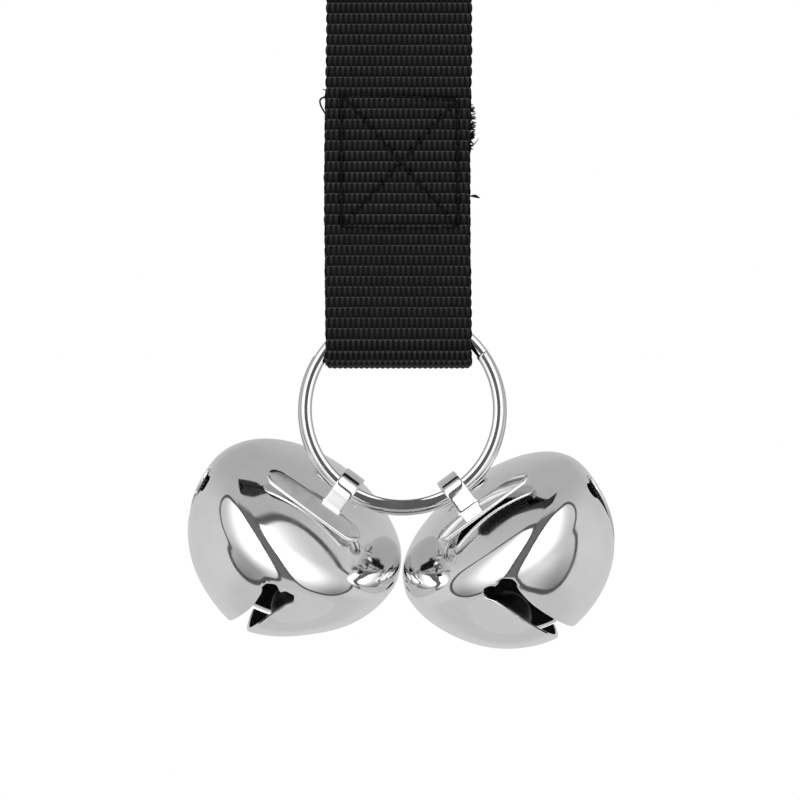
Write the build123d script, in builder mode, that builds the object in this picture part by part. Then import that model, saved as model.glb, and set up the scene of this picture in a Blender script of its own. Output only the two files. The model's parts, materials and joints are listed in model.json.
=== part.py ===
"""A door-hanger strap of jingle bells: black webbing, a split ring and two four-slot bells.

Millimetres, +Z up, X across the webbing, Y through it, -Y the front. The origin is where
the door handle bears inside the top loop, and everything hangs below it.
"""

import os
from math import asin, atan2, cos, degrees, radians, sin, sqrt

from build123d import *

os.makedirs("parts", exist_ok=True)

# ---- driving dimensions -------------------------------------------------------------------
WEB_WIDTH = 25.0
WEB_THICK = 1.5

DOOR_LOOP_HEIGHT = 85.0  # inside, from the bearing point to where the layers meet
DOOR_LOOP_RADIUS = 20.0
STITCH_BOX_WIDTH = 20.0
STITCH_BOX_HEIGHT = 22.6
THREAD = 0.4
UPPER_STITCH_TOP = -88.0
FOLD_Z = -178.0  # lowest point of the webbing
LOWER_STITCH_RISE = 24.3  # bottom of the lower stitched box above the fold
TAIL_RISE = 47.8  # cut end of the turned-up layer above the fold
FLEX_RISE = 60.0  # bending line of the single layer above the fold
FLEX_GAP = 0.3
RING_LOOP_RADIUS = 3.6  # inside of the small loop round the ring
RING_LOOP_TIP_RISE = 23.0
TIP_RADIUS = 0.2

RING_X = 0.5  # the ring has slipped a little to one side of the webbing
RING_DROP = 6.8  # ring centre below the fold
RING_OUTER = 17.9
RING_INNER = 15.8
COIL_DEPTH = 1.25
COIL_ROUND = 0.5
CROSSING_SLIM = 0.16  # the wire thins a little where it is bent across from coil to coil
REAR_COIL_DROP = 0.3  # the rear coil sits a little lower than the front one
RING_END_LEFT = 148.0  # degrees from +X: free end of the rear coil
RING_END_RIGHT = 35.0  # free end of the front coil

BELL_RADIUS = 18.95
SHOULDER_RADIUS = 3.3
CROWN_RADIUS = 36.0
CROWN_HEIGHT = 10.0  # crown above the centre of the bell's round half
WALL = 0.8
SLOT_WIDTH = 2.7
SLOT_BELOW_LOBES = 0.3  # a slot's straight part stops just below the middles of its two lobes
LOBE_RADIUS = 1.25
LOBE_SPREAD = 1.05
PELLET_RADIUS = 4.5
PELLET_PLAY = 0.3

SHANK_THICK = 0.6
BAND_WIDTH = 3.8
ARCH_HALF = 2.7  # inside half width of the shank's arch
ARCH_TOP = 2.15  # inside top of the arch above the wire's centre
ARCH_SPRING = 0.5  # where the legs bend into the arch, above the wire's centre
ARCH_SPLAY = 1.1  # how far each leg leans out by the time it reaches the crown
WIRE_TO_CROWN = 3.1
FOOT_LENGTH = 19.5
REAR_FOOT_LENGTH = 8.0
FOOT_WIDTH = 4.2
FOOT_OFFSET = 5.6  # middle of each foot from the bell's axis

# each bell: place on the ring from straight down (degrees, + to the right), its crown's lean
# in the front view and toward the front, its foot's slope in the front view, how far the bell's
# axis is from its shank's arch along the feet, its slots' turn, and how high its slots' lobes
# stand above the middle of its round half
BELLS = {
    "left": dict(
        place=-35.2, lean=-35.5, toward=31.2, foot_slope=-36.5, arch_shift=-2.65, slot_turn=12.0, slot_rise=-0.3
    ),
    "right": dict(
        place=32.6, lean=35.8, toward=21.6, foot_slope=36.5, arch_shift=2.1, slot_turn=-16.0, slot_rise=1.2
    ),
}

# ---- derived places -----------------------------------------------------------------------
RING_Z = FOLD_Z - RING_DROP
WIRE_RADIUS = (RING_OUTER + RING_INNER) / 2
WIRE_WIDTH = RING_OUTER - RING_INNER
LOOP_OUTER = RING_LOOP_RADIUS + WEB_THICK
LOOP_AXIS_Z = FOLD_Z + LOOP_OUTER
FLEX_Z = FOLD_Z + FLEX_RISE
UPPER_TAIL_Z = UPPER_STITCH_TOP - STITCH_BOX_HEIGHT - 2.0


def teardrop(round_z, radius, tip_z, tip_radius):
    """A teardrop in Y and Z: a round end and a nearly sharp one, joined by tangents."""
    turn = asin((radius - tip_radius) / abs(round_z - tip_z))
    way = 1 if round_z > tip_z else -1
    across, along = cos(turn), -way * sin(turn)
    with BuildLine() as outline:
        right_round = (radius * across, round_z + radius * along)
        left_round = (-radius * across, round_z + radius * along)
        right_tip = (tip_radius * across, tip_z + tip_radius * along)
        left_tip = (-tip_radius * across, tip_z + tip_radius * along)
        Line(right_tip, right_round)
        ThreePointArc(right_round, (0, round_z + way * radius), left_round)
        Line(left_round, left_tip)
        ThreePointArc(left_tip, (0, tip_z - way * tip_radius), right_tip)
    make_face(outline.edges())


def block(low_y, high_y, low_z, high_z):
    """A rectangle in Y and Z, from its corners."""
    with Locations(((low_y + high_y) / 2, (low_z + high_z) / 2)):
        Rectangle(high_y - low_y, high_z - low_z)


# ---- webbing: one strip, its single layer in front of the middle plane ----------------------
with BuildPart() as strap_upper:
    with BuildSketch(Plane.YZ) as upper_side:
        round_z = -DOOR_LOOP_RADIUS
        teardrop(round_z, DOOR_LOOP_RADIUS + WEB_THICK, -DOOR_LOOP_HEIGHT, TIP_RADIUS + WEB_THICK)
        block(-WEB_THICK, WEB_THICK, UPPER_TAIL_Z, -DOOR_LOOP_HEIGHT)
        block(-WEB_THICK, 0, FLEX_Z, -DOOR_LOOP_HEIGHT)
        with Locations((-WEB_THICK / 2, FLEX_Z)):
            Circle(WEB_THICK / 2)
        with BuildSketch(mode=Mode.PRIVATE) as upper_hole:
            teardrop(round_z, DOOR_LOOP_RADIUS, -DOOR_LOOP_HEIGHT, TIP_RADIUS)
        add(upper_hole.sketch, mode=Mode.SUBTRACT)
    extrude(amount=WEB_WIDTH / 2, both=True)
strap_upper.part.label = "strap_upper"
export_step(strap_upper.part, "parts/strap_upper.step")

with BuildPart() as strap_lower:
    with BuildSketch(Plane.YZ) as lower_side:
        tip_z = FOLD_Z + RING_LOOP_TIP_RISE
        teardrop(LOOP_AXIS_Z, LOOP_OUTER, tip_z, TIP_RADIUS + WEB_THICK)
        block(-WEB_THICK, WEB_THICK, tip_z, FOLD_Z + TAIL_RISE)
        block(-WEB_THICK, 0, tip_z, FLEX_Z - WEB_THICK / 2 - FLEX_GAP)
        with BuildSketch(mode=Mode.PRIVATE) as lower_hole:
            teardrop(LOOP_AXIS_Z, RING_LOOP_RADIUS, tip_z, TIP_RADIUS)
        add(lower_hole.sketch, mode=Mode.SUBTRACT)
    extrude(amount=WEB_WIDTH / 2, both=True)
strap_lower.part.label = "strap_lower"
export_step(strap_lower.part, "parts/strap_lower.step")


# ---- box-and-cross stitching ----------------------------------------------------------------
def box_stitch(name, bottom_z):
    """Thread lying on the front of the webbing: a square seam with a cross inside it."""
    half = STITCH_BOX_WIDTH / 2
    middle_z = bottom_z + STITCH_BOX_HEIGHT / 2
    diagonal = sqrt(STITCH_BOX_WIDTH**2 + STITCH_BOX_HEIGHT**2)
    slope = degrees(asin(STITCH_BOX_HEIGHT / diagonal))
    with BuildPart() as seam:
        with BuildSketch(Plane.XZ.offset(WEB_THICK)):
            with Locations((0, middle_z)):
                Rectangle(STITCH_BOX_WIDTH + THREAD, STITCH_BOX_HEIGHT + THREAD)
                Rectangle(STITCH_BOX_WIDTH - THREAD, STITCH_BOX_HEIGHT - THREAD, mode=Mode.SUBTRACT)
            with Locations((0, middle_z)):
                Rectangle(diagonal, THREAD, rotation=slope)
                Rectangle(diagonal, THREAD, rotation=-slope)
        extrude(amount=THREAD)
    seam.part.label = name
    export_step(seam.part, f"parts/{name}.step")


box_stitch("upper_box_stitch", UPPER_STITCH_TOP - STITCH_BOX_HEIGHT)
box_stitch("lower_box_stitch", FOLD_Z + LOWER_STITCH_RISE)


# ---- split ring -----------------------------------------------------------------------------
def coil(near_y, far_y, centre_z):
    """One flat turn of the ring's wire, open at the top between the two ends."""
    sweep_angle = 360 - RING_END_LEFT + RING_END_RIGHT
    start = radians(RING_END_LEFT)
    at = Vector(RING_X, (near_y + far_y) / 2, centre_z)
    outward = Vector(cos(start), 0, sin(start))
    section = Plane(origin=at + outward * WIRE_RADIUS, x_dir=outward, z_dir=(-sin(start), 0, cos(start)))
    with BuildSketch(section) as wire:
        RectangleRounded(WIRE_WIDTH, far_y - near_y, COIL_ROUND)
    revolve(wire.sketch, axis=Axis(at, (0, -1, 0)), revolution_arc=sweep_angle)


with BuildPart() as split_ring:
    coil(-COIL_DEPTH, 0.02, RING_Z)
    coil(-0.02, COIL_DEPTH, RING_Z - REAR_COIL_DROP)
    with BuildLine() as crossing:
        start, end = radians(RING_END_LEFT + 4), radians(RING_END_RIGHT - 4)
        first = Vector(RING_X + WIRE_RADIUS * cos(start), -COIL_DEPTH / 2, RING_Z + WIRE_RADIUS * sin(start))
        middle = Vector(RING_X, 0, RING_Z + WIRE_RADIUS - REAR_COIL_DROP / 2)
        rear_z = RING_Z - REAR_COIL_DROP
        last = Vector(RING_X + WIRE_RADIUS * cos(end), COIL_DEPTH / 2, rear_z + WIRE_RADIUS * sin(end))
        tangent_first = (sin(start), 0, -cos(start))
        tangent_last = (sin(end), 0, -cos(end))
        Spline(first, middle, last, tangents=(tangent_first, tangent_last))
    with BuildSketch(Plane(origin=first, x_dir=(cos(start), 0, sin(start)), z_dir=tangent_first)):
        RectangleRounded(WIRE_WIDTH - CROSSING_SLIM, COIL_DEPTH - CROSSING_SLIM, COIL_ROUND / 2)
    sweep(path=crossing.line)
split_ring.part.label = "split_ring"
export_step(split_ring.part, "parts/split_ring.step")


# ---- bells ----------------------------------------------------------------------------------
def bell_plane(place, lean, toward, foot_slope):
    """The bell's own frame: origin at the wire's centre, z out of the crown, x along its feet."""
    lean, toward, place = radians(lean), radians(toward), radians(place)
    crown = Vector(-sin(lean) * cos(toward), -sin(toward), cos(lean) * cos(toward))
    flat = Vector(cos(radians(foot_slope)), 0, sin(radians(foot_slope)))
    depth = -(crown.X * flat.X + crown.Z * flat.Z) / crown.Y
    foot = Vector(flat.X, depth, flat.Z).normalized()
    wire = Vector(RING_X + WIRE_RADIUS * sin(place), 0, RING_Z - WIRE_RADIUS * cos(place))
    return Plane(origin=wire, x_dir=foot, z_dir=crown)


def bell_section(radius, shoulder, crown_radius, crown_height):
    """Half of the bell's section: a round lower half, a tight shoulder and a low crown."""
    shoulder_x = radius - shoulder
    crown_centre = crown_height - crown_radius
    shoulder_z = crown_centre + sqrt((crown_radius - shoulder) ** 2 - shoulder_x**2)
    turn = degrees(atan2(shoulder_z - crown_centre, shoulder_x))
    with BuildLine() as outline:
        Line((0, crown_height), (0, -radius))
        CenterArc((0, 0), radius, -90, 90)
        Line((radius, 0), (radius, shoulder_z))
        CenterArc((shoulder_x, shoulder_z), shoulder, 0, turn)
        CenterArc((0, crown_centre), crown_radius, turn, 90 - turn)
    make_face(outline.edges())


def bell_shell(name, frame, centre, slot_turn, slot_rise):
    """A thin shell in the bell's frame, cut by four slots with bone-shaped ends."""
    with BuildPart() as shell:
        with BuildSketch(Plane(origin=centre, x_dir=frame.x_dir, z_dir=frame.x_dir.cross(frame.z_dir))):
            bell_section(BELL_RADIUS, SHOULDER_RADIUS, CROWN_RADIUS, CROWN_HEIGHT)
            with BuildSketch(mode=Mode.PRIVATE) as inside:
                bell_section(
                    BELL_RADIUS - WALL, SHOULDER_RADIUS - WALL, CROWN_RADIUS - WALL, CROWN_HEIGHT - WALL
                )
            add(inside.sketch, mode=Mode.SUBTRACT)
        revolve(axis=Axis(centre, frame.z_dir))
        for quarter in range(4):
            out = frame.x_dir.rotate(Axis((0, 0, 0), frame.z_dir), slot_turn + 90 * quarter)
            across = frame.z_dir.cross(out)
            with BuildSketch(Plane(origin=centre, x_dir=across, z_dir=out)):
                with Locations((0, slot_rise - SLOT_BELOW_LOBES - BELL_RADIUS)):
                    Rectangle(SLOT_WIDTH, 2 * BELL_RADIUS)
            extrude(amount=2 * BELL_RADIUS, mode=Mode.SUBTRACT)
            with BuildSketch(Plane(origin=centre + out * BELL_RADIUS / 2, x_dir=across, z_dir=out)):
                with Locations((-LOBE_SPREAD, slot_rise), (LOBE_SPREAD, slot_rise)):
                    Circle(LOBE_RADIUS)
            extrude(amount=BELL_RADIUS, mode=Mode.SUBTRACT)
    shell.part.label = name
    export_step(shell.part, f"parts/{name}.step")


def bell_shank(name, frame, centre):
    """A sheet strap arched over the ring's wire, with a long front and a short rear foot."""
    crown = centre + frame.z_dir * CROWN_HEIGHT
    side = Plane(origin=frame.origin, x_dir=frame.y_dir, z_dir=frame.x_dir)
    foot_tilt = degrees(asin(FOOT_OFFSET / CROWN_RADIUS))
    sag = CROWN_RADIUS - sqrt(CROWN_RADIUS**2 - FOOT_OFFSET**2)
    with BuildPart() as shank:
        with BuildSketch(side):
            with BuildLine() as band:
                base = (ARCH_HALF + ARCH_SPLAY, -WIRE_TO_CROWN)
                spring = (ARCH_HALF, ARCH_SPRING)
                Line(base, spring)
                ThreePointArc(spring, (0, ARCH_TOP), (-spring[0], spring[1]))
                Line((-spring[0], spring[1]), (-base[0], base[1]))
                offset(amount=SHANK_THICK, side=Side.RIGHT)
            make_face()
        extrude(amount=BAND_WIDTH / 2, both=True)
        for way in (-1, 1):
            tilt = radians(way * foot_tilt)
            up = frame.z_dir * cos(tilt) + frame.y_dir * sin(tilt)
            middle = crown + frame.y_dir * (way * FOOT_OFFSET) - frame.z_dir * sag
            with BuildSketch(Plane(origin=middle + up * 0.02, x_dir=frame.x_dir, z_dir=up)):
                SlotOverall(FOOT_LENGTH if way < 0 else REAR_FOOT_LENGTH, FOOT_WIDTH)
            extrude(amount=SHANK_THICK)
    shank.part.label = name
    export_step(shank.part, f"parts/{name}.step")


def bell_pellet(name, centre):
    """The loose steel ball, lying at the lowest place inside the shell."""
    drop = BELL_RADIUS - WALL - PELLET_RADIUS - PELLET_PLAY
    with BuildPart() as pellet:
        with Locations(centre - Vector(0, 0, drop)):
            Sphere(PELLET_RADIUS)
    pellet.part.label = name
    export_step(pellet.part, f"parts/{name}.step")


for side_name, bell in BELLS.items():
    frame = bell_plane(bell["place"], bell["lean"], bell["toward"], bell["foot_slope"])
    centre = frame.origin + frame.x_dir * bell["arch_shift"] - frame.z_dir * (WIRE_TO_CROWN + CROWN_HEIGHT)
    bell_shell(f"{side_name}_bell_shell", frame, centre, bell["slot_turn"], bell["slot_rise"])
    bell_shank(f"{side_name}_bell_shank", frame, centre)
    bell_pellet(f"{side_name}_bell_pellet", centre)
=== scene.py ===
"""Looks for the door-hanger sleigh bells: woven webbing, stitching, a split ring and two bells.

Metres, in the CAD frame: +Z up, X across the webbing, -Y the front.
"""

import json
import math

import bpy
import numpy as np
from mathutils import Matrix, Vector


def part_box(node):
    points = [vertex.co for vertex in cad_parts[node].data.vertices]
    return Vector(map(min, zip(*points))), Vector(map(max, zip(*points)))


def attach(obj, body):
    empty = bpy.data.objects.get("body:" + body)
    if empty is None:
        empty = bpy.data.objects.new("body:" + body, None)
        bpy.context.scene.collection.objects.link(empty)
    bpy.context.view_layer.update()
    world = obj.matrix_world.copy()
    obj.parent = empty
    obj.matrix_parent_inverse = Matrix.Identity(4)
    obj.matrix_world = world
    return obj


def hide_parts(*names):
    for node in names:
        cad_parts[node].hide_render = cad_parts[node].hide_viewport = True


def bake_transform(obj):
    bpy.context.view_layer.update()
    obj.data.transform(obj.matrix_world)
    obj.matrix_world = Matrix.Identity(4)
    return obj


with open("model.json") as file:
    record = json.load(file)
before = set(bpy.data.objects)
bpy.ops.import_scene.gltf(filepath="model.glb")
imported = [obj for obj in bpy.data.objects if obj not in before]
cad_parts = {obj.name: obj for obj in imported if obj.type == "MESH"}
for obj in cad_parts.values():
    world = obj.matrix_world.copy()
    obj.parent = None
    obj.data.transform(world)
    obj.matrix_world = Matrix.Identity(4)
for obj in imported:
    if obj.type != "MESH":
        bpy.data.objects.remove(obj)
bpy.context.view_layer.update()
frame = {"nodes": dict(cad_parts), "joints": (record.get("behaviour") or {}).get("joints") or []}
joints = {joint["name"]: joint for joint in frame["joints"]}

MM = 0.001
rng = np.random.default_rng(7)

# ---- driving dimensions, in metres and degrees ------------------------------------------------
upper_low, upper_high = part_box("strap_upper")
lower_low, lower_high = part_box("strap_lower")
ring_low, ring_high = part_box("split_ring")

WEB_WIDTH = upper_high.x - upper_low.x
WEB_THICK = upper_high.z  # the door handle bears at the origin
HALF_THICK = WEB_THICK / 2
FOLD_Z = lower_low.z
DOOR_TIP_Z = -85 * MM  # where the two layers meet under the door loop
DOOR_TAIL_Z = -112.6 * MM  # cut end of the layer turned down behind the door loop
RING_TIP_Z = FOLD_Z + 23 * MM  # where the two layers meet above the ring
RING_TAIL_Z = FOLD_Z + 47.8 * MM  # cut end of the layer turned up behind the ring
TIP_RADIUS = 0.2 * MM
FLEX_Z = joints["strap_flex"]["pos_m"][2]
SPLIT_Z = FLEX_Z + 4.8 * MM  # where the webbing's two meshes meet
LINE_SPACING = 0.1 * MM  # between the points of the webbing's centre line

ROW_PITCH = 1.83 * MM
FLOATS_ACROSS = 27
RELIEF = 0.28 * MM

STITCH_HALF = 10 * MM
SEAMS = {
    "upper": (-110.6 * MM, -88 * MM),
    "lower": (FOLD_Z + 24.3 * MM, FOLD_Z + 46.9 * MM),
}
THREAD_RADIUS = 0.17 * MM
STITCH_LENGTH = 2.7 * MM

RING_X = (ring_low.x + ring_high.x) / 2
RING_FRONT_Z = ring_high.z - (ring_high.x - ring_low.x) / 2
WIRE_WIDTH = 2.1 * MM
COIL_DEPTH = 1.25 * MM
REAR_COIL_DROP = 0.3 * MM
COIL_SPREAD = 0.35 * MM  # the rear coil is the wider one
RING_OUTER = (ring_high.x - ring_low.x) / 2
RING_END_LEFT = 148.0  # degrees from +X, where the rear coil ends
RING_END_RIGHT = 35.0  # and where the front coil ends
WIRE_BOXINESS = 0.80  # 1 is an oval wire, and less is flatter on its four sides

BELL_RADIUS = 18.95 * MM
SHOULDER_RADIUS = 6 * MM
CROWN_RADIUS = 36 * MM
CROWN_HEIGHT = 10 * MM
WALL = 0.8 * MM
SLOT_HALVES = (1.35 * MM, 1.35 * MM, 1.35 * MM, 1.7 * MM)  # the front slot, the last, is widest
LOBE_RADIUS = 1.5 * MM
LOBE_SPREAD = 1.45 * MM
EDGE_ROUND = 0.22 * MM  # rounding of the shell's cut edges and of the clip's feet
SHELL_COLUMNS, SHELL_ROWS = 264, 122

SHANK_THICK = 0.6 * MM
BAND_HALF = 1.85 * MM
ARCH_HALF = 2.7 * MM
ARCH_TOP = 2.15 * MM
ARCH_SPRING = 0.5 * MM
WIRE_TO_CROWN = 3.1 * MM
FOOT_HALF_LENGTH = 9.75 * MM
REAR_FOOT_HALF_LENGTH = 4 * MM
FOOT_HALF_WIDTH = 2.1 * MM
FOOT_OFFSET = 5.6 * MM
FOOT_BEND = 0.18 * MM
FRONT_FOOT_LIFT = 0.2 * MM
BAND_SPLAY = 0.85 * MM

# each bell, in degrees and millimetres:
# foot_slope   slope of its feet in the front view
# foot_tilt    how far its front foot tips forward beyond lying flat on the crown
# slot_turns   where each slot stands round the bell, less its whole quarters
# slot_skews   how much that changes from the bell's middle to its pole
# lobe_rises   how high each slot's lobes stand above the bell's middle
# flats        how far each petal is flattened
# knocks       where the skin stands out or in: direction in the front view, amount, and reach
BELLS = {
    "left": dict(
        foot_slope=-36.5,
        foot_tilt=7,
        slot_turns=(12.0, 12.0, 17.5, 13.6),
        slot_skews=(0, 0, 0, 5.2),
        lobe_rises=(-0.2, -0.2, 1.2, -0.9),
        flats=(0.25, 0.2, 0.15, 0.2),
        knocks=((277, -0.7, 20), (238, 0.6, 15), (328, 0.5, 20), (0, 0.4, 20)),
    ),
    "right": dict(
        foot_slope=36.5,
        foot_tilt=-2,
        slot_turns=(-21.0, -16.0, -16.0, -19.1),
        slot_skews=(0, 0, 0, -11.6),
        lobe_rises=(1.3, 1.25, 1.25, 0.9),
        flats=(0.2, 0.25, 0.2, 0.15),
        knocks=((-146, 0.7, 20), (40, -0.4, 26), (-62, 0.25, 15), (180, 0.4, 20)),
    ),
}


# ---- camera, light and floor ------------------------------------------------------------------
VIEW_WIDTH = 137.93 * MM
VIEW_CENTRE = Vector((0.086 * MM, 0, FOLD_Z - 5.42 * MM))
CAMERA_DISTANCE = 0.9
FLOOR_Z = -0.8
FLOOR_RADIUS = 0.3

# two soft boxes, one on each side of the camera, as rounded rectangles in degrees
BOX_SIDE, BOX_SIDE_REACH = 44.0, 35.0
BOX_RISE, BOX_RISE_REACH = 7.0, 54.0
BOX_POWER = 3.4


def add_camera():
    """A long lens straight in front, level with the split ring."""
    data = bpy.data.cameras.new("camera")
    camera = bpy.data.objects.new("camera", data)
    bpy.context.scene.collection.objects.link(camera)
    camera.location = VIEW_CENTRE - Vector((0, CAMERA_DISTANCE, 0))
    camera.rotation_euler = (math.pi / 2, 0, 0)
    data.sensor_width = 36
    data.lens = data.sensor_width * CAMERA_DISTANCE / VIEW_WIDTH
    data.clip_start = 0.01
    data.clip_end = 100
    bpy.context.scene.camera = camera


class Graph:
    """A small helper that makes and joins shader nodes."""

    def __init__(self, tree):
        self.tree = tree
        tree.nodes.clear()

    def node(self, kind, **settings):
        made = self.tree.nodes.new(kind)
        for key, value in settings.items():
            setattr(made, key, value)
        return made

    def join(self, value, socket):
        if isinstance(value, bpy.types.NodeSocket):
            self.tree.links.new(value, socket)
        elif value is not None:
            socket.default_value = value

    def math(self, operation, first, second=None):
        made = self.node("ShaderNodeMath", operation=operation)
        for value, socket in zip((first, second), made.inputs):
            self.join(value, socket)
        return made.outputs[0]

    def smooth(self, value, low, high, to_low=0.0, to_high=1.0):
        """to_low below low, to_high above high, and a smooth step between."""
        made = self.node("ShaderNodeMapRange", interpolation_type="SMOOTHSTEP")
        for entry, socket in zip((value, low, high, to_low, to_high), made.inputs):
            self.join(entry, socket)
        return made.outputs[0]

    def mix(self, factor, first, second):
        """first where factor is 0 and second where it is 1, for plain numbers."""
        made = self.node("ShaderNodeMix", data_type="FLOAT")
        self.join(factor, made.inputs[0])
        self.join(first, made.inputs[2])
        self.join(second, made.inputs[3])
        return made.outputs[0]

    def colour(self, factor, first, second):
        made = self.node("ShaderNodeMix", data_type="RGBA")
        self.join(factor, made.inputs[0])
        self.join(first, made.inputs[6])
        self.join(second, made.inputs[7])
        return made.outputs[2]

    def noise(self, vector, scale, detail=2.0, roughness=0.5):
        made = self.node("ShaderNodeTexNoise")
        self.join(vector, made.inputs["Vector"])
        made.inputs["Scale"].default_value = scale
        made.inputs["Detail"].default_value = detail
        made.inputs["Roughness"].default_value = roughness
        return made.outputs["Fac"]


def between(graph, value, low, high, edge):
    """1 between low and high, falling to 0 over edge outside them."""
    rise = graph.smooth(value, low - edge, low)
    fall = graph.smooth(value, high, high + edge, 1.0, 0.0)
    return graph.math("MULTIPLY", rise, fall)


def outside_box(g, side, elevation):
    """Below 1 inside a soft box, 1 on its rounded outline and above 1 outside it."""
    terms = []
    for angle, middle, reach in (
        (side, BOX_SIDE, BOX_SIDE_REACH),
        (elevation, BOX_RISE, BOX_RISE_REACH),
    ):
        share = g.math("DIVIDE", g.math("SUBTRACT", angle, middle), reach)
        terms.append(g.math("POWER", g.math("ABSOLUTE", share), BOX_POWER))
    return g.math("ADD", *terms)


def add_world():
    """A pale room with two large soft boxes, a dark gap between them and a dark frame round each.

    Azimuth is measured from the camera's side toward +X, and both angles are in degrees. The
    backdrop itself is plain white.
    """
    world = bpy.data.worlds.new("studio")
    bpy.context.scene.world = world
    world.use_nodes = True
    g = Graph(world.node_tree)
    direction = g.node("ShaderNodeTexCoord").outputs["Generated"]
    split = g.node("ShaderNodeSeparateXYZ")
    g.join(direction, split.inputs[0])
    x, y, z = split.outputs
    to_degrees = 180 / math.pi
    azimuth = g.math("MULTIPLY", g.math("ARCTAN2", x, g.math("MULTIPLY", y, -1.0)), to_degrees)
    elevation = g.math("MULTIPLY", g.math("ARCSINE", z), to_degrees)
    side = g.math("ABSOLUTE", azimuth)

    front_wall = g.smooth(elevation, 10.0, 75.0, 0.66, 0.47)
    rear_wall = g.smooth(elevation, -10.0, 60.0, 0.64, 0.45)
    light = g.mix(g.smooth(side, 80.0, 140.0), front_wall, rear_wall)
    light = g.mix(g.smooth(elevation, -46.0, -30.0), 0.57, light)  # the room's lower part
    gap = g.math("MULTIPLY", g.smooth(side, 22.0, 30.0, 1.0, 0.0), between(g, elevation, -34.0, 66.0, 8.0))
    light = g.mix(gap, light, 0.15)
    outside = outside_box(g, side, elevation)
    light = g.mix(g.smooth(outside, 1.3, 1.5, 1.0, 0.0), light, 0.09)
    glow = g.smooth(side, 20.0, 72.0, 1.8, 0.62)
    glow = g.math("MULTIPLY", glow, g.smooth(elevation, -46.0, 4.0, 0.36, 1.0))
    light = g.mix(g.smooth(outside, 0.93, 1.07, 1.0, 0.0), light, glow)

    seen = g.node("ShaderNodeLightPath").outputs["Is Camera Ray"]
    background = g.node("ShaderNodeBackground")
    background.inputs["Color"].default_value = (1, 1, 1, 1)
    g.join(g.mix(seen, light, 1.0), background.inputs["Strength"])
    output = g.node("ShaderNodeOutputWorld")
    g.join(background.outputs[0], output.inputs[0])
    bpy.context.scene.view_settings.view_transform = "Standard"


def add_floor():
    """A pale matt disc well below the bells."""
    bpy.ops.mesh.primitive_circle_add(
        vertices=96, radius=FLOOR_RADIUS, fill_type="NGON", location=(0, 0, FLOOR_Z)
    )
    floor = bpy.context.object
    floor.name = "floor"
    floor_paint = bpy.data.materials.new("floor_paint")
    floor_paint.use_nodes = True
    shader = floor_paint.node_tree.nodes["Principled BSDF"]
    shader.inputs["Base Color"].default_value = (0.92, 0.92, 0.92, 1)
    shader.inputs["Roughness"].default_value = 0.8
    floor.data.materials.append(floor_paint)


add_camera()
add_world()
add_floor()


# ---- materials --------------------------------------------------------------------------------
def new_material(name):
    """A material with one Principled shader, and the graph that feeds it."""
    material = bpy.data.materials.new(name)
    material.use_nodes = True
    g = Graph(material.node_tree)
    shader = g.node("ShaderNodeBsdfPrincipled")
    output = g.node("ShaderNodeOutputMaterial")
    g.join(shader.outputs[0], output.inputs[0])
    return material, g, shader


def add_bump(g, shader, height, distance, strength=1.0):
    bump = g.node("ShaderNodeBump")
    bump.inputs["Strength"].default_value = strength
    bump.inputs["Distance"].default_value = distance
    g.join(height, bump.inputs["Height"])
    g.join(bump.outputs[0], shader.inputs["Normal"])


def object_point(g):
    return g.node("ShaderNodeTexCoord").outputs["Object"]


def stretched(g, vector, scale, rotation=(0, 0, 0)):
    made = g.node("ShaderNodeMapping")
    g.join(vector, made.inputs["Vector"])
    made.inputs["Scale"].default_value = scale
    made.inputs["Rotation"].default_value = rotation
    return made.outputs[0]


def nickel(name, shade, roughness, ripple, scratches):
    """Bright nickel plate: faint ripples, hairline scratches and a little haze."""
    material, g, shader = new_material(name)
    point = object_point(g)
    haze = g.noise(point, 160, 4, 0.6)
    lines = g.noise(stretched(g, point, (900, 900, 40), (0.5, 0.3, 0)), 6, 3, 0.7)
    other_lines = g.noise(stretched(g, point, (60, 1100, 700), (0.2, 0.9, 0.4)), 5, 3, 0.7)
    marks = g.math("ADD", g.smooth(lines, 0.62, 0.74), g.smooth(other_lines, 0.64, 0.76))
    dull = g.smooth(haze, 0.35, 0.75, roughness * 0.7, roughness * 1.7)
    g.join(g.math("ADD", dull, g.math("MULTIPLY", marks, scratches)), shader.inputs["Roughness"])
    dark = (shade * 0.93, shade * 0.93, shade * 0.935, 1)
    light = (shade, shade, shade, 1)
    g.join(g.colour(g.smooth(haze, 0.3, 0.8), light, dark), shader.inputs["Base Color"])
    shader.inputs["Metallic"].default_value = 1.0
    wave = g.noise(point, 95, 1, 0.3)
    fine = g.math("MULTIPLY", g.noise(point, 2200, 2, 0.5), 0.012)
    height = g.math("ADD", wave, g.math("ADD", fine, g.math("MULTIPLY", marks, -0.01)))
    add_bump(g, shader, height, ripple)
    return material


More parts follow.
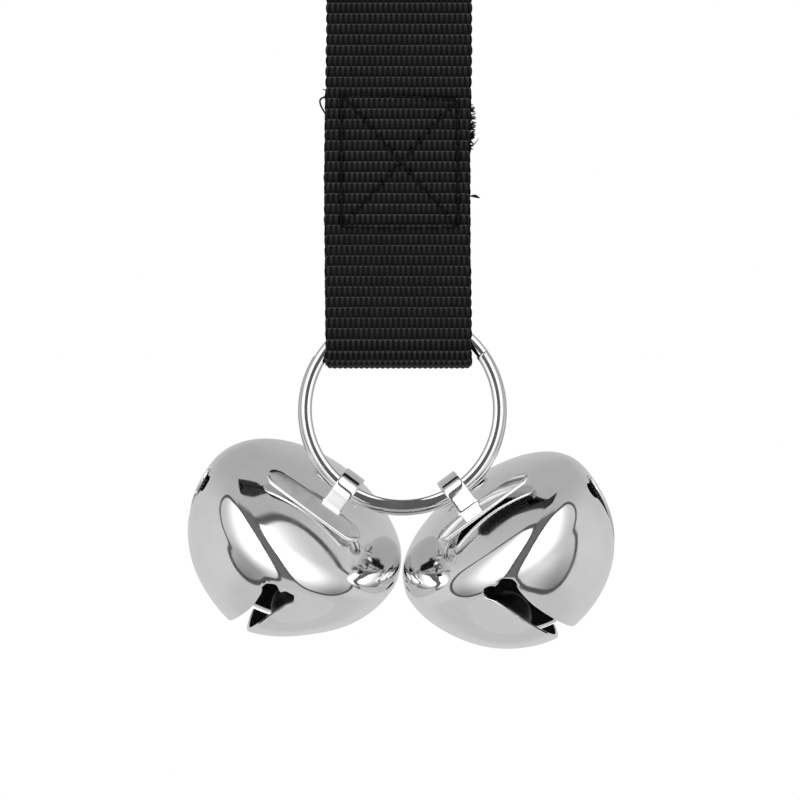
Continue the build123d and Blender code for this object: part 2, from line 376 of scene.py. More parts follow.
def woven(name):
    """Black nylon webbing. Its weave attribute holds float column, row and relief."""
    material, g, shader = new_material(name)
    weave = g.node("ShaderNodeAttribute", attribute_name="weave")
    split = g.node("ShaderNodeSeparateXYZ")
    g.join(weave.outputs["Vector"], split.inputs[0])
    column, row = split.outputs[:2]
    stagger = g.math("MULTIPLY", g.math("FLOORED_MODULO", g.math("FLOOR", row), 2.0), 0.5)
    across = g.math("SUBTRACT", g.math("FRACT", g.math("ADD", column, stagger)), 0.5)
    along = g.math("FRACT", row)
    reach = g.math("ABSOLUTE", across)
    # gap is where the floats part; further down, the base colour there is made near black as painted shade
    gap = g.math("MULTIPLY", g.smooth(reach, 0.17, 0.38), between(g, along, 0.2, 0.88, 0.12))
    body = g.math("SUBTRACT", 1.0, gap)
    # painted highlight: the top of each float is made lighter, broken up by fibre noise
    tip = g.math("MULTIPLY", g.smooth(along, 0.03, 0.22, 1.0, 0.0), g.smooth(reach, 0.10, 0.36, 1.0, 0.0))
    filament = g.noise(stretched(g, weave.outputs["Vector"], (13, 1.3, 0)), 1.0, 3, 0.6)
    yarn = g.noise(weave.outputs["Vector"], 0.9, 2, 0.5)
    patch = g.noise(stretched(g, weave.outputs["Vector"], (0.16, 0.2, 0)), 1.0, 2, 0.5)
    fuzz = g.math("ADD", filament, g.math("MULTIPLY", patch, 0.6))
    tip_highlight = g.math("MULTIPLY", tip, g.smooth(fuzz, 0.4, 0.9))
    lit = g.math("MULTIPLY", g.smooth(along, 0.1, 0.95, 1.0, 0.12), g.smooth(yarn, 0.25, 0.7, 0.45, 1.0))
    low = g.colour(lit, (0.005, 0.005, 0.0052, 1), (0.026, 0.026, 0.0265, 1))
    # painted shade: near black in the gaps between floats
    low = g.colour(body, (0.0004, 0.0004, 0.0004, 1), low)
    # painted highlight on the float tips
    tone = g.colour(tip_highlight, low, (0.07, 0.07, 0.072, 1))
    g.join(tone, shader.inputs["Base Color"])
    g.join(g.smooth(filament, 0.2, 0.8, 0.42, 0.66), shader.inputs["Roughness"])
    shader.inputs["Specular IOR Level"].default_value = 0.11
    height = g.math("ADD", g.math("MULTIPLY", body, 1.6), g.math("MULTIPLY", filament, 0.35))
    add_bump(g, shader, height, 0.12 * MM, 0.9)
    return material


def yarn_black(name, tone, gloss):
    """Polyester thread or loose nylon fibre, with its twist as fine streaks."""
    material, g, shader = new_material(name)
    point = object_point(g)
    streak = g.noise(stretched(g, point, (5200, 2600, 5200), (0.4, 0.2, 0.8)), 1.0, 3, 0.6)
    bright = (tone * 2.2, tone * 2.2, tone * 2.3, 1)
    g.join(g.colour(g.smooth(streak, 0.35, 0.7), (tone, tone, tone, 1), bright), shader.inputs["Base Color"])
    g.join(g.smooth(streak, 0.2, 0.8, 0.45, 0.65), shader.inputs["Roughness"])
    shader.inputs["Specular IOR Level"].default_value = gloss
    add_bump(g, shader, streak, 0.03 * MM, 0.8)
    return material


def shaded_ball_steel(name):
    """The rattling ball: dull steel with pits and rub marks, its tone darkened as painted shade."""
    material, g, shader = new_material(name)
    point = object_point(g)
    pits = g.noise(point, 1400, 4, 0.65)
    rubs = g.noise(point, 380, 3, 0.6)
    # rub marks vary the tone; the whole tone is kept dark as painted shade for the inside of the bell
    tone = g.colour(g.smooth(rubs, 0.35, 0.7), (0.10, 0.097, 0.094, 1), (0.20, 0.196, 0.19, 1))
    g.join(tone, shader.inputs["Base Color"])
    g.join(g.smooth(pits, 0.3, 0.8, 0.42, 0.65), shader.inputs["Roughness"])
    shader.inputs["Metallic"].default_value = 1.0
    add_bump(g, shader, pits, 0.04 * MM, 0.7)
    return material


def shade_lining(name):
    """The inside of a bell: a dark, rough tone that is painted shade, mottled by noise."""
    material, g, shader = new_material(name)
    scale = g.noise(object_point(g), 520, 4, 0.6)
    # painted shade: the inside of the shell is kept near black
    tone = g.colour(g.smooth(scale, 0.35, 0.7), (0.04, 0.04, 0.04, 1), (0.075, 0.075, 0.077, 1))
    g.join(tone, shader.inputs["Base Color"])
    shader.inputs["Roughness"].default_value = 0.75
    shader.inputs["Specular IOR Level"].default_value = 0.15
    add_bump(g, shader, scale, 0.05 * MM)
    return material


WEBBING = woven("black_webbing")
THREAD = yarn_black("black_thread", 0.003, 0.12)
FIBRE = yarn_black("loose_fibre", 0.003, 0.15)
BELL_METAL = nickel("bell_plate", 0.91, 0.055, 0.10 * MM, 0.05)
RING_METAL = nickel("ring_plate", 0.64, 0.09, 0.05 * MM, 0.08)
SHANK_METAL = nickel("shank_plate", 0.88, 0.10, 0.07 * MM, 0.07)
BALL_METAL = shaded_ball_steel("shaded_ball_steel")
BELL_SHADE_LINING = shade_lining("bell_shade_lining")


# ---- mesh helpers -----------------------------------------------------------------------------
def new_piece(name, points, faces, material, body, sharp=None, replaces=()):
    """A mesh object that rides on a body and takes the material it is given."""
    mesh = bpy.data.meshes.new(name)
    mesh.from_pydata([tuple(p) for p in points], [], [tuple(int(i) for i in f) for f in faces])
    mesh.shade_smooth()
    if sharp is not None:
        mesh.set_sharp_from_angle(angle=math.radians(sharp))
    mesh.materials.append(material)
    piece = bpy.data.objects.new(name, mesh)
    bpy.context.scene.collection.objects.link(piece)
    if body:
        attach(piece, body)
    if replaces:
        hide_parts(*replaces)
    return piece


def tangents(points):
    steps = np.gradient(points, axis=0)
    return steps / np.linalg.norm(steps, axis=1, keepdims=True)


def arc_lengths(points):
    """Length along a polyline at each of its points."""
    steps = np.linalg.norm(np.diff(points, axis=0), axis=1)
    return np.concatenate([[0], np.cumsum(steps)])


def boxed(wave, power):
    """A cosine or sine made boxier, for power below 1."""
    return np.sign(wave) * np.abs(wave) ** power


def swept(points, sides, section):
    """Vertices and faces of a tube: section(k, angle) gives a radius for point k.

    The tube's frame is carried along the points without twisting.
    """
    points = np.asarray(points, float)
    along = tangents(points)
    side = np.array((0.31, 0.17, 0.93))
    rings = []
    angles = 2 * np.pi * np.arange(sides) / sides
    for k, (point, direction) in enumerate(zip(points, along)):
        side = side - direction * side.dot(direction)
        side /= np.linalg.norm(side)
        other = np.cross(direction, side)
        radius = section(k, angles)[:, None]
        rings.append(point + radius * (np.cos(angles)[:, None] * side + np.sin(angles)[:, None] * other))
    return lofted(rings)


def lofted(rings):
    """Faces between rings of equal size, with both ends closed."""
    count, sides = len(rings), len(rings[0])
    verts = np.concatenate(rings)
    first = np.arange(sides)
    after = (first + 1) % sides
    faces = []
    for k in range(count - 1):
        low, high = k * sides, (k + 1) * sides
        faces.extend(np.stack([low + first, low + after, high + after, high + first], 1).tolist())
    faces.append(list(range(sides))[::-1])
    faces.append([(count - 1) * sides + i for i in range(sides)])
    return verts, faces


def gathered(parts):
    """Several (verts, faces) as one."""
    verts, faces, base = [], [], 0
    for part_verts, part_faces in parts:
        verts.append(np.asarray(part_verts))
        faces.extend([[i + base for i in face] for face in part_faces])
        base += len(part_verts)
    return np.concatenate(verts), faces


# ---- webbing ----------------------------------------------------------------------------------
def teardrop_line(round_z, radius, tip_z):
    """The +Y half of a teardrop centre line in Y and Z, from its tip round to its far side."""
    tip = TIP_RADIUS + HALF_THICK
    way = 1 if round_z > tip_z else -1
    turn = math.asin((radius - tip) / abs(round_z - tip_z))
    lift = -way * math.sin(turn)
    tip_point = np.array((tip * math.cos(turn), tip_z + tip * lift))
    angles = np.linspace(-turn, math.pi / 2, 40)
    arc = np.stack([radius * np.cos(angles), round_z + way * radius * np.sin(angles)], 1)
    return np.vstack([tip_point, arc])


def evened(line, spacing, softening):
    """The polyline at even spacing, its corners softened over a length."""
    at = arc_lengths(line)
    where = np.linspace(0, at[-1], int(at[-1] / spacing) + 1)
    dense = np.stack([np.interp(where, at, line[:, i]) for i in (0, 1)], 1)
    reach = int(softening / spacing / 2)
    padded = np.vstack(
        [2 * dense[0] - dense[reach:0:-1], dense, 2 * dense[-1] - dense[-2 : -reach - 2 : -1]]
    )
    kernel = np.ones(2 * reach + 1) / (2 * reach + 1)
    return np.stack([np.convolve(padded[:, i], kernel, "valid") for i in (0, 1)], 1)


def upper_line():
    """From the cut end behind, up, over the door loop and down the front to SPLIT_Z."""
    loop = teardrop_line(WEB_THICK - upper_high.y, upper_high.y - HALF_THICK, DOOR_TIP_Z)
    rear = np.vstack([(HALF_THICK, DOOR_TAIL_Z), (HALF_THICK, DOOR_TIP_Z - 1.5 * MM), loop])
    front = (rear * (-1, 1))[::-1][:-1]
    front[-1] = (-HALF_THICK, SPLIT_Z)
    return evened(np.vstack([rear, front[1:]]), LINE_SPACING, 2.5 * MM)


def lower_line():
    """From SPLIT_Z down the front, round the split ring and up behind to the cut end."""
    radius = lower_high.y - HALF_THICK
    loop = teardrop_line(FOLD_Z + lower_high.y, radius, RING_TIP_Z)
    rear = np.vstack([(HALF_THICK, RING_TAIL_Z), (HALF_THICK, RING_TIP_Z + 1.2 * MM), loop])
    front = (rear * (-1, 1)).copy()
    front[0] = (-HALF_THICK, SPLIT_Z)
    return evened(np.vstack([front, rear[::-1][1:]]), LINE_SPACING, 2.0 * MM)


def seam_runs(low, high):
    """The straight runs of one box-and-cross seam, as pairs of points in X and Z."""
    a, b = np.array((-STITCH_HALF, low)), np.array((STITCH_HALF, low))
    c, d = np.array((STITCH_HALF, high - 0.6 * MM)), np.array((-STITCH_HALF, high + 0.5 * MM))
    return [(a, b), (b, c), (c, d), (d, a), (a, c), (b, d)]


def seam_distance(x, z):
    """Distance in X and Z from the nearest seam run."""
    nearest = np.full(np.shape(x), 1.0)
    for low, high in SEAMS.values():
        for start, end in seam_runs(low, high):
            run = end - start
            along = ((x - start[0]) * run[0] + (z - start[1]) * run[1]) / run.dot(run)
            along = np.clip(along, 0, 1)
            away = np.hypot(x - start[0] - along * run[0], z - start[1] - along * run[1])
            nearest = np.minimum(nearest, away)
    return nearest


def float_height(column, row):
    """Relief of the weave from 0 to 1: raised floats, staggered from row to row."""
    shift = 0.5 * (np.floor(row + 1e-6) % 2)
    across = np.mod(column + shift, 1.0) - 0.5
    along = np.mod(row + 1e-6, 1.0) - 0.5
    round_across = np.sqrt(np.clip(1 - (across / 0.505) ** 2, 0, 1))
    round_along = 1 - 0.95 * np.abs(2 * along) ** 5
    return round_across * round_along


def stations(line, row_samples):
    """Stations along a centre line, a few to each row of the weave.

    Returns the number of rows and the line's length, and for each station its row, its distance
    along the line, its centre and its outward direction (the last two in Y and Z).
    """
    at = arc_lengths(line)
    length = at[-1]
    rows = round(LINE_SPACING * (len(line) - 1) / ROW_PITCH)
    row = (np.arange(rows)[:, None] + np.array(row_samples)).ravel()
    row = np.append(row, rows - 1e-4)
    where = row / rows * length

    def point_at(distance):
        return np.stack([np.interp(distance, at, line[:, i]) for i in (0, 1)], 1)

    reach = 0.2 * MM
    along = point_at(np.minimum(where + reach, length)) - point_at(np.maximum(where - reach, 0))
    along /= np.linalg.norm(along, axis=1, keepdims=True)
    outward = np.stack([along[:, 1], -along[:, 0]], 1)
    return rows, length, row, where, point_at(where), outward


def webbing(name, line, row_samples, front_per_float, back_per_float):
    """One length of webbing: woven relief on both faces and scalloped edges."""
    rows, length, row_values, where, centre, outward = stations(line, row_samples)
    in_row = np.mod(row_values, 1.0)
    scallop = (1 - (2 * in_row - 1) ** 2) * 0.22 * MM - 0.12 * MM
    # the strip stands a little toward -X, by an amount that varies along it
    drift = 0.25 * MM + 0.15 * MM * np.cos((centre[:, 1] - FOLD_Z - 28 * MM) / (10 * MM))
    wander = 0.04 * MM * np.sin(where / (7.1 * MM) + 1) - drift
    row_widths = rng.normal(0, 0.035 * MM, rows + 1)
    jitter = row_widths[np.clip(np.floor(row_values).astype(int), 0, rows)]

    def face_points(per_float, sign):
        columns = FLOATS_ACROSS * per_float
        column = np.arange(columns + 1) / per_float
        spread = column / FLOATS_ACROSS * 2 - 1
        uneven = (scallop + jitter)[:, None] * np.abs(spread[None, :]) ** 8
        x = spread[None, :] * (WEB_WIDTH / 2 - 0.15 * MM + uneven) + wander[:, None]
        offset = 0.5 if sign < 0 else 0.0
        relief = float_height(column[None, :], row_values[:, None] + offset)
        edge = np.clip((np.abs(spread) - 0.93) / 0.07, 0, 1) ** 2
        lift = HALF_THICK - RELIEF * 0.75 + RELIEF * relief - edge[None, :] * 0.30 * MM
        z_here = centre[:, 1][:, None] + 0 * x
        pinch = 0.34 * MM * np.exp(-((seam_distance(x, z_here) / (0.42 * MM)) ** 2))  # the thread's dent
        outer_here = outward[:, 0][:, None] * sign
        facing_out = np.abs(outward[:, 0][:, None]) > 0.9
        showing = (np.sign(outer_here) * np.sign(centre[:, 0][:, None]) > 0) & facing_out
        lift = lift - np.where(showing, pinch, 0)
        y = centre[:, 0][:, None] + sign * outward[:, 0][:, None] * lift
        z = centre[:, 1][:, None] + sign * outward[:, 1][:, None] * lift
        weave = np.stack([column[None, :] + 0 * x, row_values[:, None] + offset + 0 * x, relief], 2)
        return np.stack([x, y, z], 2), weave

    front, front_weave = face_points(front_per_float, 1)
    back, back_weave = face_points(back_per_float, -1)

    def edge_points(side):
        x = side * (WEB_WIDTH / 2 + scallop + jitter + 0.04 * MM) + wander
        made = []
        for lift in (0.32 * MM, -0.32 * MM):
            y, z = (centre + outward * lift).T
            made.append(np.stack([x, y, z], 1))
        return np.stack(made, 1)

    right, left = edge_points(1), edge_points(-1)
    rings = np.concatenate([front, right, back[:, ::-1], left[:, ::-1]], 1)
    edge_weave = np.zeros((len(where), 2, 3))
    edge_weave[:, :, 0] = 0.25
    edge_weave[:, :, 1] = row_values[:, None]
    edge_weave[:, :, 2] = 0.55
    weaves = np.concatenate([front_weave, edge_weave, back_weave[:, ::-1], edge_weave], 1)
    verts, faces = lofted(list(rings))
    piece = new_piece(name, verts, faces, WEBBING, None)
    for cut_end in (-1, -2):
        piece.data.polygons[cut_end].use_smooth = False
    attribute = piece.data.attributes.new("weave", "FLOAT_VECTOR", "POINT")
    attribute.data.foreach_set("vector", weaves.reshape(-1))
    return piece, length


# ---- thread and loose fibres ------------------------------------------------------------------
def one_stitch(start, end, side):
    """A stitch lying in its dent, its two ends pulled down into the webbing."""
    t = np.linspace(0, 1, 11)
    flat = start[None, :] + (end - start)[None, :] * t[:, None]
    bow = np.clip(np.sin(np.pi * t), 0, 1) ** 0.5
    y = side * (WEB_THICK - 0.62 * MM + 0.66 * MM * bow)
    points = np.stack([flat[:, 0], y, flat[:, 1]], 1)
    twist = 2 * np.pi * np.arange(len(t)) / 5
    swell = THREAD_RADIUS * (0.75 + 0.25 * np.sqrt(np.clip(1 - (2 * t - 1) ** 2, 0, 1)))
    return swept(points, 10, lambda k, angles: swell[k] * (1 + 0.14 * np.cos(2 * angles - twist[k])))


def box_stitch(which, body, node):
    """The whole seam, on the front and on the rear."""
    low, high = SEAMS[which]
    parts = []
    for side in (-1, 1):
        for start, end in seam_runs(low, high):
            count = max(2, round(np.linalg.norm(end - start) / STITCH_LENGTH))
            for k in range(count):
                first = start + (end - start) * (k + 0.04) / count
                last = start + (end - start) * (k + 0.96) / count
                shake = rng.normal(0, 0.07 * MM, 4)
                parts.append(one_stitch(first + shake[:2], last + shake[2:], side))
    verts, faces = gathered(parts)
    new_piece(node + "_thread", verts, faces, THREAD, body, 60, (node,))


def curved(points, count):
    """A smooth curve through a few points (Catmull-Rom)."""
    points = np.asarray(points, float)
    ends = np.vstack([2 * points[0] - points[1], points, 2 * points[-1] - points[-2]])
    made = []
    for k in range(len(points) - 1):
        a, b, c, d = ends[k : k + 4]
        t = np.linspace(0, 1, count, endpoint=False)[:, None]
        square, cube = 2 * a - 5 * b + 4 * c - d, 3 * b - a - 3 * c + d
        made.append(0.5 * (2 * b + (c - a) * t + square * t**2 + cube * t**3))
    return np.vstack(made + [points[-1:]])


def strand(points, radius, taper=0.4, sides=6):
    path = curved(points, 5)
    t = np.linspace(0, 1, len(path))
    size = radius * (1 - (1 - taper) * t)
    return swept(path, sides, lambda k, angles: size[k] + 0 * angles)


def cut_end_fibres():
    """Fibres standing up from the webbing's cut end behind the lower seam."""
    edge = WEB_WIDTH / 2
    fibres = []
    for _ in range(46):
        x = rng.uniform(-edge + 0.3 * MM, edge - 0.1 * MM)
        out = rng.uniform(0.3, 1.1) * MM
        start = np.array((x, rng.uniform(0.35, 1.2) * MM, RING_TAIL_Z - 0.4 * MM))
        tip = start + (rng.normal(0, 0.3) * MM, rng.uniform(0.0, 0.3) * MM, out)
        middle = (start + tip) / 2 + rng.normal(0, 0.1 * MM, 3)
        fibres.append(strand([start, middle, tip], 0.07 * MM))
    return fibres


def side_fibres():
    """Fibres frayed out of the rear layer's right edge, just below its cut end."""
    edge = WEB_WIDTH / 2
    fibres = []
    for _ in range(110):
        below = rng.uniform(2.6, 9.6)
        reach = rng.uniform(0.25, 0.95) * MM * (1 - abs(below - 5.6) / 6.5)
        start = np.array((edge - 0.5 * MM, rng.uniform(0.3, 1.1) * MM, RING_TAIL_Z - below * MM))
        tip = start + (0.45 * MM + reach, rng.normal(0, 0.15) * MM, rng.uniform(-0.5, 0.8) * MM)
        middle = (start + tip) / 2 + rng.normal(0, 0.14 * MM, 3)
        fibres.append(strand([start, middle, tip], rng.uniform(0.08, 0.15) * MM))
    return fibres


def beside_seam(side, route):
    """Points in mm, outward from the webbing's edge and up from its cut end, put in their place."""
    edge = side * WEB_WIDTH / 2
    return [(edge + side * out * MM, y * MM, RING_TAIL_Z + z * MM) for out, y, z in route]


def loose_ends():
    """Frayed fibres, a thread loop and a few thread ends where the lower seam is sewn."""
    parts = cut_end_fibres() + side_fibres()
    whisker = ((-0.3, 0.5, -9.4), (0.5, 0.5, -9.0), (1.1, 0.4, -8.1))
    parts.append(strand(beside_seam(1, whisker), 0.12 * MM))
    loop = ((-0.6, -0.6, -0.9), (0.3, -0.8, -1.0), (1.1, -0.7, -1.4), (1.15, -0.6, -2.2))
    loop += ((0.7, -0.6, -3.2), (0.1, -0.7, -4.1), (-0.5, -0.9, -4.6))
    parts.append(strand(beside_seam(-1, loop), 0.17 * MM, 0.9, 8))
    nub = ((-0.5, -0.7, -0.1), (0.35, -0.7, 0.2), (0.75, -0.7, 0.35))
    parts.append(strand(beside_seam(-1, nub), 0.14 * MM, 0.5, 8))
    tuft = curved(beside_seam(1, ((-0.4, -0.9, -18.1), (0.5, -0.9, -18.1), (1.3, -0.8, -18.4))), 7)
    t = np.linspace(0, 1, len(tuft))
    swell = (0.12 + 0.16 * np.sin(np.pi * np.clip(t * 1.15 - 0.1, 0, 1)) ** 1.2) * MM
    parts.append(swept(tuft, 8, lambda k, angles: swell[k] + 0 * angles))
    verts, faces = gathered(parts)
    new_piece("frayed_ends", verts, faces, FIBRE, "strap_end", 60)


upper_strap, upper_length = webbing("webbing_door_loop", upper_line(), (0, 0.16, 0.5, 0.84), 4, 2)
lower_strap, lower_length = webbing("webbing_ring_loop", lower_line(), (0, 0.14, 0.38, 0.66, 0.88), 5, 3)
for strap, node, length in (
    (upper_strap, "strap_upper", upper_length),
    (lower_strap, "strap_lower", lower_length),
):
    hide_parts(node)
    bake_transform(strap)
box_stitch("upper", "strap_top", "upper_box_stitch")
box_stitch("lower", "strap_end", "lower_box_stitch")
loose_ends()


# ---- split ring -------------------------------------------------------------------------------
def split_ring():
    """One flattened wire, a turn and two thirds long, crossing from front to rear at the top."""
    single = 360 - RING_END_LEFT + RING_END_RIGHT
    crossing = RING_END_LEFT - RING_END_RIGHT
    total = 2 * single + crossing
    degrees = np.concatenate([[0, 0.25], np.arange(1.25, total - 1, 1.25), [total - 0.25, total]])
    across = np.clip((degrees - single) / crossing, 0, 1)
    swing = across**2 * (3 - 2 * across)
    angle = np.radians(RING_END_RIGHT - degrees)
    radius = RING_OUTER - WIRE_WIDTH / 2
    half_width, half_depth = WIRE_WIDTH / 2, COIL_DEPTH / 2 - 0.01 * MM
    turn = 2 * np.pi * np.arange(36) / 36
    wide = half_width * boxed(np.cos(turn), WIRE_BOXINESS)
    deep = half_depth * boxed(np.sin(turn), WIRE_BOXINESS)
    rings = []
    for k in range(len(degrees)):
        out = np.array((np.cos(angle[k]), 0, np.sin(angle[k])))
        centre = np.array((RING_X, 0, RING_FRONT_Z)) + out * (radius + (swing[k] - 0.6) * COIL_SPREAD)
        centre[1] = (swing[k] - 0.5) * COIL_DEPTH
        centre[2] -= swing[k] * REAR_COIL_DROP
        size = 0.86 if k in (0, len(degrees) - 1) else 1.0
        rings.append(centre + size * (wide[:, None] * out + deep[:, None] * np.array((0, 1, 0))))
    verts, faces = lofted(rings)
    new_piece("split_ring_wire", verts, faces, RING_METAL, "ring", 60, ("split_ring",))


split_ring()


# ---- bells ------------------------------------------------------------------------------------
def bell_axes(side):
    """Wire point, bell centre, and the bell's own x (along its feet), y and z (out of its crown)."""
    wire = np.array(joints[side + "_bell_swing"]["pos_m"])
    roll = joints[side + "_pellet_roll"]
    centre, crown = np.array(roll["pos_m"]), np.array(roll["axis"])
    crown = crown / np.linalg.norm(crown)
    if crown.dot(wire - centre) < 0:
        crown = -crown
    slope = math.radians(BELLS[side]["foot_slope"])
    flat = np.array((math.cos(slope), 0, math.sin(slope)))
    foot = flat - np.array((0, 1, 0)) * (crown.dot(flat) / crown[1])
    foot /= np.linalg.norm(foot)
    return wire, centre, foot, np.cross(crown, foot), crown


class Profile:
    """The bell's outline from its pole up to its crown, by length along it."""

    def __init__(self, inset):
        self.radius = BELL_RADIUS - inset
        self.shoulder = SHOULDER_RADIUS - inset
        self.crown = CROWN_RADIUS - inset
        shoulder_x = BELL_RADIUS - SHOULDER_RADIUS
        crown_z = CROWN_HEIGHT - CROWN_RADIUS
        shoulder_z = crown_z + math.sqrt((CROWN_RADIUS - SHOULDER_RADIUS) ** 2 - shoulder_x**2)
        turn = math.atan2(shoulder_z - crown_z, shoulder_x)
        self.shoulder_x, self.shoulder_z, self.crown_z, self.turn = shoulder_x, shoulder_z, crown_z, turn
        rounded = (SHOULDER_RADIUS * turn, CROWN_RADIUS * (math.pi / 2 - turn))
        self.ends = np.cumsum((BELL_RADIUS * math.pi / 2, shoulder_z, *rounded))

    def at(self, length):
        """Radius and height, each an array, at lengths measured along the outer skin."""
        length = np.asarray(length, float)
        lower, side, shoulder = self.ends[:3]
        low_angle = length / BELL_RADIUS - math.pi / 2
        shoulder_angle = (length - side) / SHOULDER_RADIUS
        crown_angle = self.turn + (length - shoulder) / CROWN_RADIUS
        pieces = [length <= lower, length <= side, length <= shoulder]
        r = np.select(
            pieces,
            [self.radius * np.cos(low_angle), self.radius + 0 * length,
             self.shoulder_x + self.shoulder * np.cos(shoulder_angle)],
            self.crown * np.cos(crown_angle),
        )
        z = np.select(
            pieces,
            [self.radius * np.sin(low_angle), length - lower,
             self.shoulder_z + self.shoulder * np.sin(shoulder_angle)],
            self.crown_z + self.crown * np.sin(crown_angle),
        )
        return np.maximum(r, 0), z

    def place(self, length, angle):
        """Points in the bell's own frame."""
        r, z = self.at(length)
        return np.stack([r * np.cos(angle), r * np.sin(angle), z], -1)


def slot_distance(points, bell):
    """How far each point, in the bell's own frame, lies outside the four slots."""
    nearest = np.full(len(points), 1.0)
    for quarter in range(4):
        turn = bell["slot_turns"][quarter] + bell["slot_skews"][quarter] * points[:, 2] / BELL_RADIUS
        angle = np.radians(turn + 90 * quarter)
        out = points[:, 0] * np.cos(angle) + points[:, 1] * np.sin(angle)
        across = -points[:, 0] * np.sin(angle) + points[:, 1] * np.cos(angle)
        rise = bell["lobe_rises"][quarter] * MM
        half = SLOT_HALVES[quarter]
        if quarter in (0, 2):  # the slots at the sides narrow toward the pole
            half = half - 0.6 * MM * np.clip((-points[:, 2] - 7 * MM) / (8 * MM), 0, 1)
        ragged = 0.10 * MM * np.sin(across / (0.31 * MM) + quarter) * np.sin(points[:, 2] / (0.43 * MM))
        lobes = np.hypot(np.abs(across) - LOBE_SPREAD, points[:, 2] - rise) - LOBE_RADIUS + ragged
        widening = 0.9 * MM * np.clip((points[:, 2] - rise + 6.5 * MM) / (6.5 * MM), 0, 1) ** 1.6
        slit = np.maximum(np.abs(across) - half - widening, points[:, 2] - (rise - 0.3 * MM))
        shape = np.minimum(slit, lobes)
        nearest = np.minimum(nearest, np.where(out > 0, shape, 1.0))
    return nearest


def cut_skin(distance, lengths, angles):
    """The part of a bell's grid that lies outside its slots.

    Returns its points, as (length, angle), its faces and the edges along the slots. A cell that a
    slot's outline crosses keeps only its outer part.
    """
    steps, around = len(lengths) - 1, len(angles)
    made, keys, faces, cut_edges = [], {}, [], []

    def vertex(key, length, angle):
        if key not in keys:
            keys[key] = len(made)
            made.append((length, angle))
        return keys[key]

    def corner(i, j):
        if i == steps:
            return vertex("crown", lengths[-1], 0.0)
        return vertex((i, j % around), lengths[i], angles[j % around])

    def crossing(first, second):
        (i, j), (k, m) = sorted((first, second))
        a, b = distance[i, j % around], distance[k, m % around]
        share = min(max(a / (a - b), 0.02), 0.98)
        length = lengths[i] + share * (lengths[k] - lengths[i])
        angle = (j + share * (m - j)) * 2 * np.pi / around
        return vertex((i, j % around, k, m % around), length, angle)

    for i in range(steps):
        for j in range(around):
            corners = [(i, j), (i, j + 1), (i + 1, j + 1), (i + 1, j)]
            values = [distance[p, q % around] for p, q in corners]
            if max(values) <= 0:
                continue
            loop, gaps = [], []
            for k in range(4):
                here, following = corners[k], corners[(k + 1) % 4]
                if values[k] > 0:
                    loop.append(corner(*here))
                if (values[k] > 0) != (values[(k + 1) % 4] > 0):
                    loop.append(crossing(here, following))
                    gaps.append((loop[-1], values[k] > 0))
            clean = [v for k, v in enumerate(loop) if v != loop[k - 1]]
            if len(clean) >= 3:
                faces.append(clean)
            if len(gaps) == 2:
                start, end = (gaps[0][0], gaps[1][0]) if gaps[0][1] else (gaps[1][0], gaps[0][0])
                cut_edges.append((start, end))
    return np.array(made), faces, cut_edges


def toward_slot(points, normal, bell):
    """Unit directions that lie in the skin and point from its cut edge into the slot."""
    step = 0.02 * MM
    slopes = []
    for shift in step * np.eye(3):
        rise = slot_distance(points - shift, bell) - slot_distance(points + shift, bell)
        slopes.append(rise / (2 * step))
    toward = np.stack(slopes, 1)
    toward -= normal * (toward * normal).sum(1, keepdims=True)
    return toward / np.maximum(np.linalg.norm(toward, axis=1, keepdims=True), 1e-6)


def rounded_rim(skin, inside, normal, toward):
    """Rows of points across the cut edge, from the skin round to the inside."""
    turns = np.radians((22.5, 45, 67.5, 90))
    rows = []
    for surface, inward, order in ((skin, -normal, turns), (inside, normal, turns[::-1])):
        for turn in order:
            rows.append(surface + EDGE_ROUND * (toward * np.sin(turn) + inward * (1 - np.cos(turn))))
    return rows


def bell_shell(side, body):
    """A thin shell cut by four slots that end in two lobes, with rounded cut edges."""
    _, centre, x_axis, y_axis, z_axis = bell_axes(side)
    bell = BELLS[side]
    outer, inner = Profile(0), Profile(WALL)
    lengths = np.linspace(0, outer.ends[-1], SHELL_ROWS + 1)
    angles = 2 * np.pi * np.arange(SHELL_COLUMNS) / SHELL_COLUMNS
    grid_length, grid_angle = np.meshgrid(lengths, angles, indexing="ij")
    distance = slot_distance(outer.place(grid_length.ravel(), grid_angle.ravel()), bell) - EDGE_ROUND
    made, faces, cut_edges = cut_skin(distance.reshape(grid_length.shape), lengths, angles)

    plain_skin, plain_inside = outer.place(*made.T), inner.place(*made.T)
    normal = plain_skin - plain_inside
    normal /= np.linalg.norm(normal, axis=1, keepdims=True)
    facing = normal @ np.array((x_axis, y_axis, z_axis))
    dent = dents(bell, plain_skin, made[:, 1], facing)[:, None] * normal
    skin, inside = plain_skin + dent, plain_inside + dent

    edge = np.unique(cut_edges)
    edge_index = {v: k for k, v in enumerate(edge.tolist())}
    toward = toward_slot(plain_skin[edge], normal[edge], bell)
    rim = rounded_rim(skin[edge], inside[edge], normal[edge], toward)
    count = len(made)
    rim_starts = 2 * count + len(edge) * np.arange(len(rim))
    columns = [edge, *(start + np.arange(len(edge)) for start in rim_starts), edge + count]
    all_faces = faces + [[v + count for v in face[::-1]] for face in faces]
    for a, b in cut_edges:
        p, q = edge_index[a], edge_index[b]
        for high, low in zip(columns[:-1], columns[1:]):
            all_faces.append([high[q], high[p], low[p], low[q]])
    local = np.concatenate([skin, inside, *rim])
    world = centre + local @ np.array((x_axis, y_axis, z_axis))
    node = side + "_bell_shell"
    piece = new_piece(side + "_bell_petals", world, all_faces, BELL_METAL, body, 50, (node,))
    # the inside faces take the dark lining, which is painted shade
    piece.data.materials.append(BELL_SHADE_LINING)
    for polygon in piece.data.polygons[len(faces) : 2 * len(faces)]:
        polygon.material_index = 1


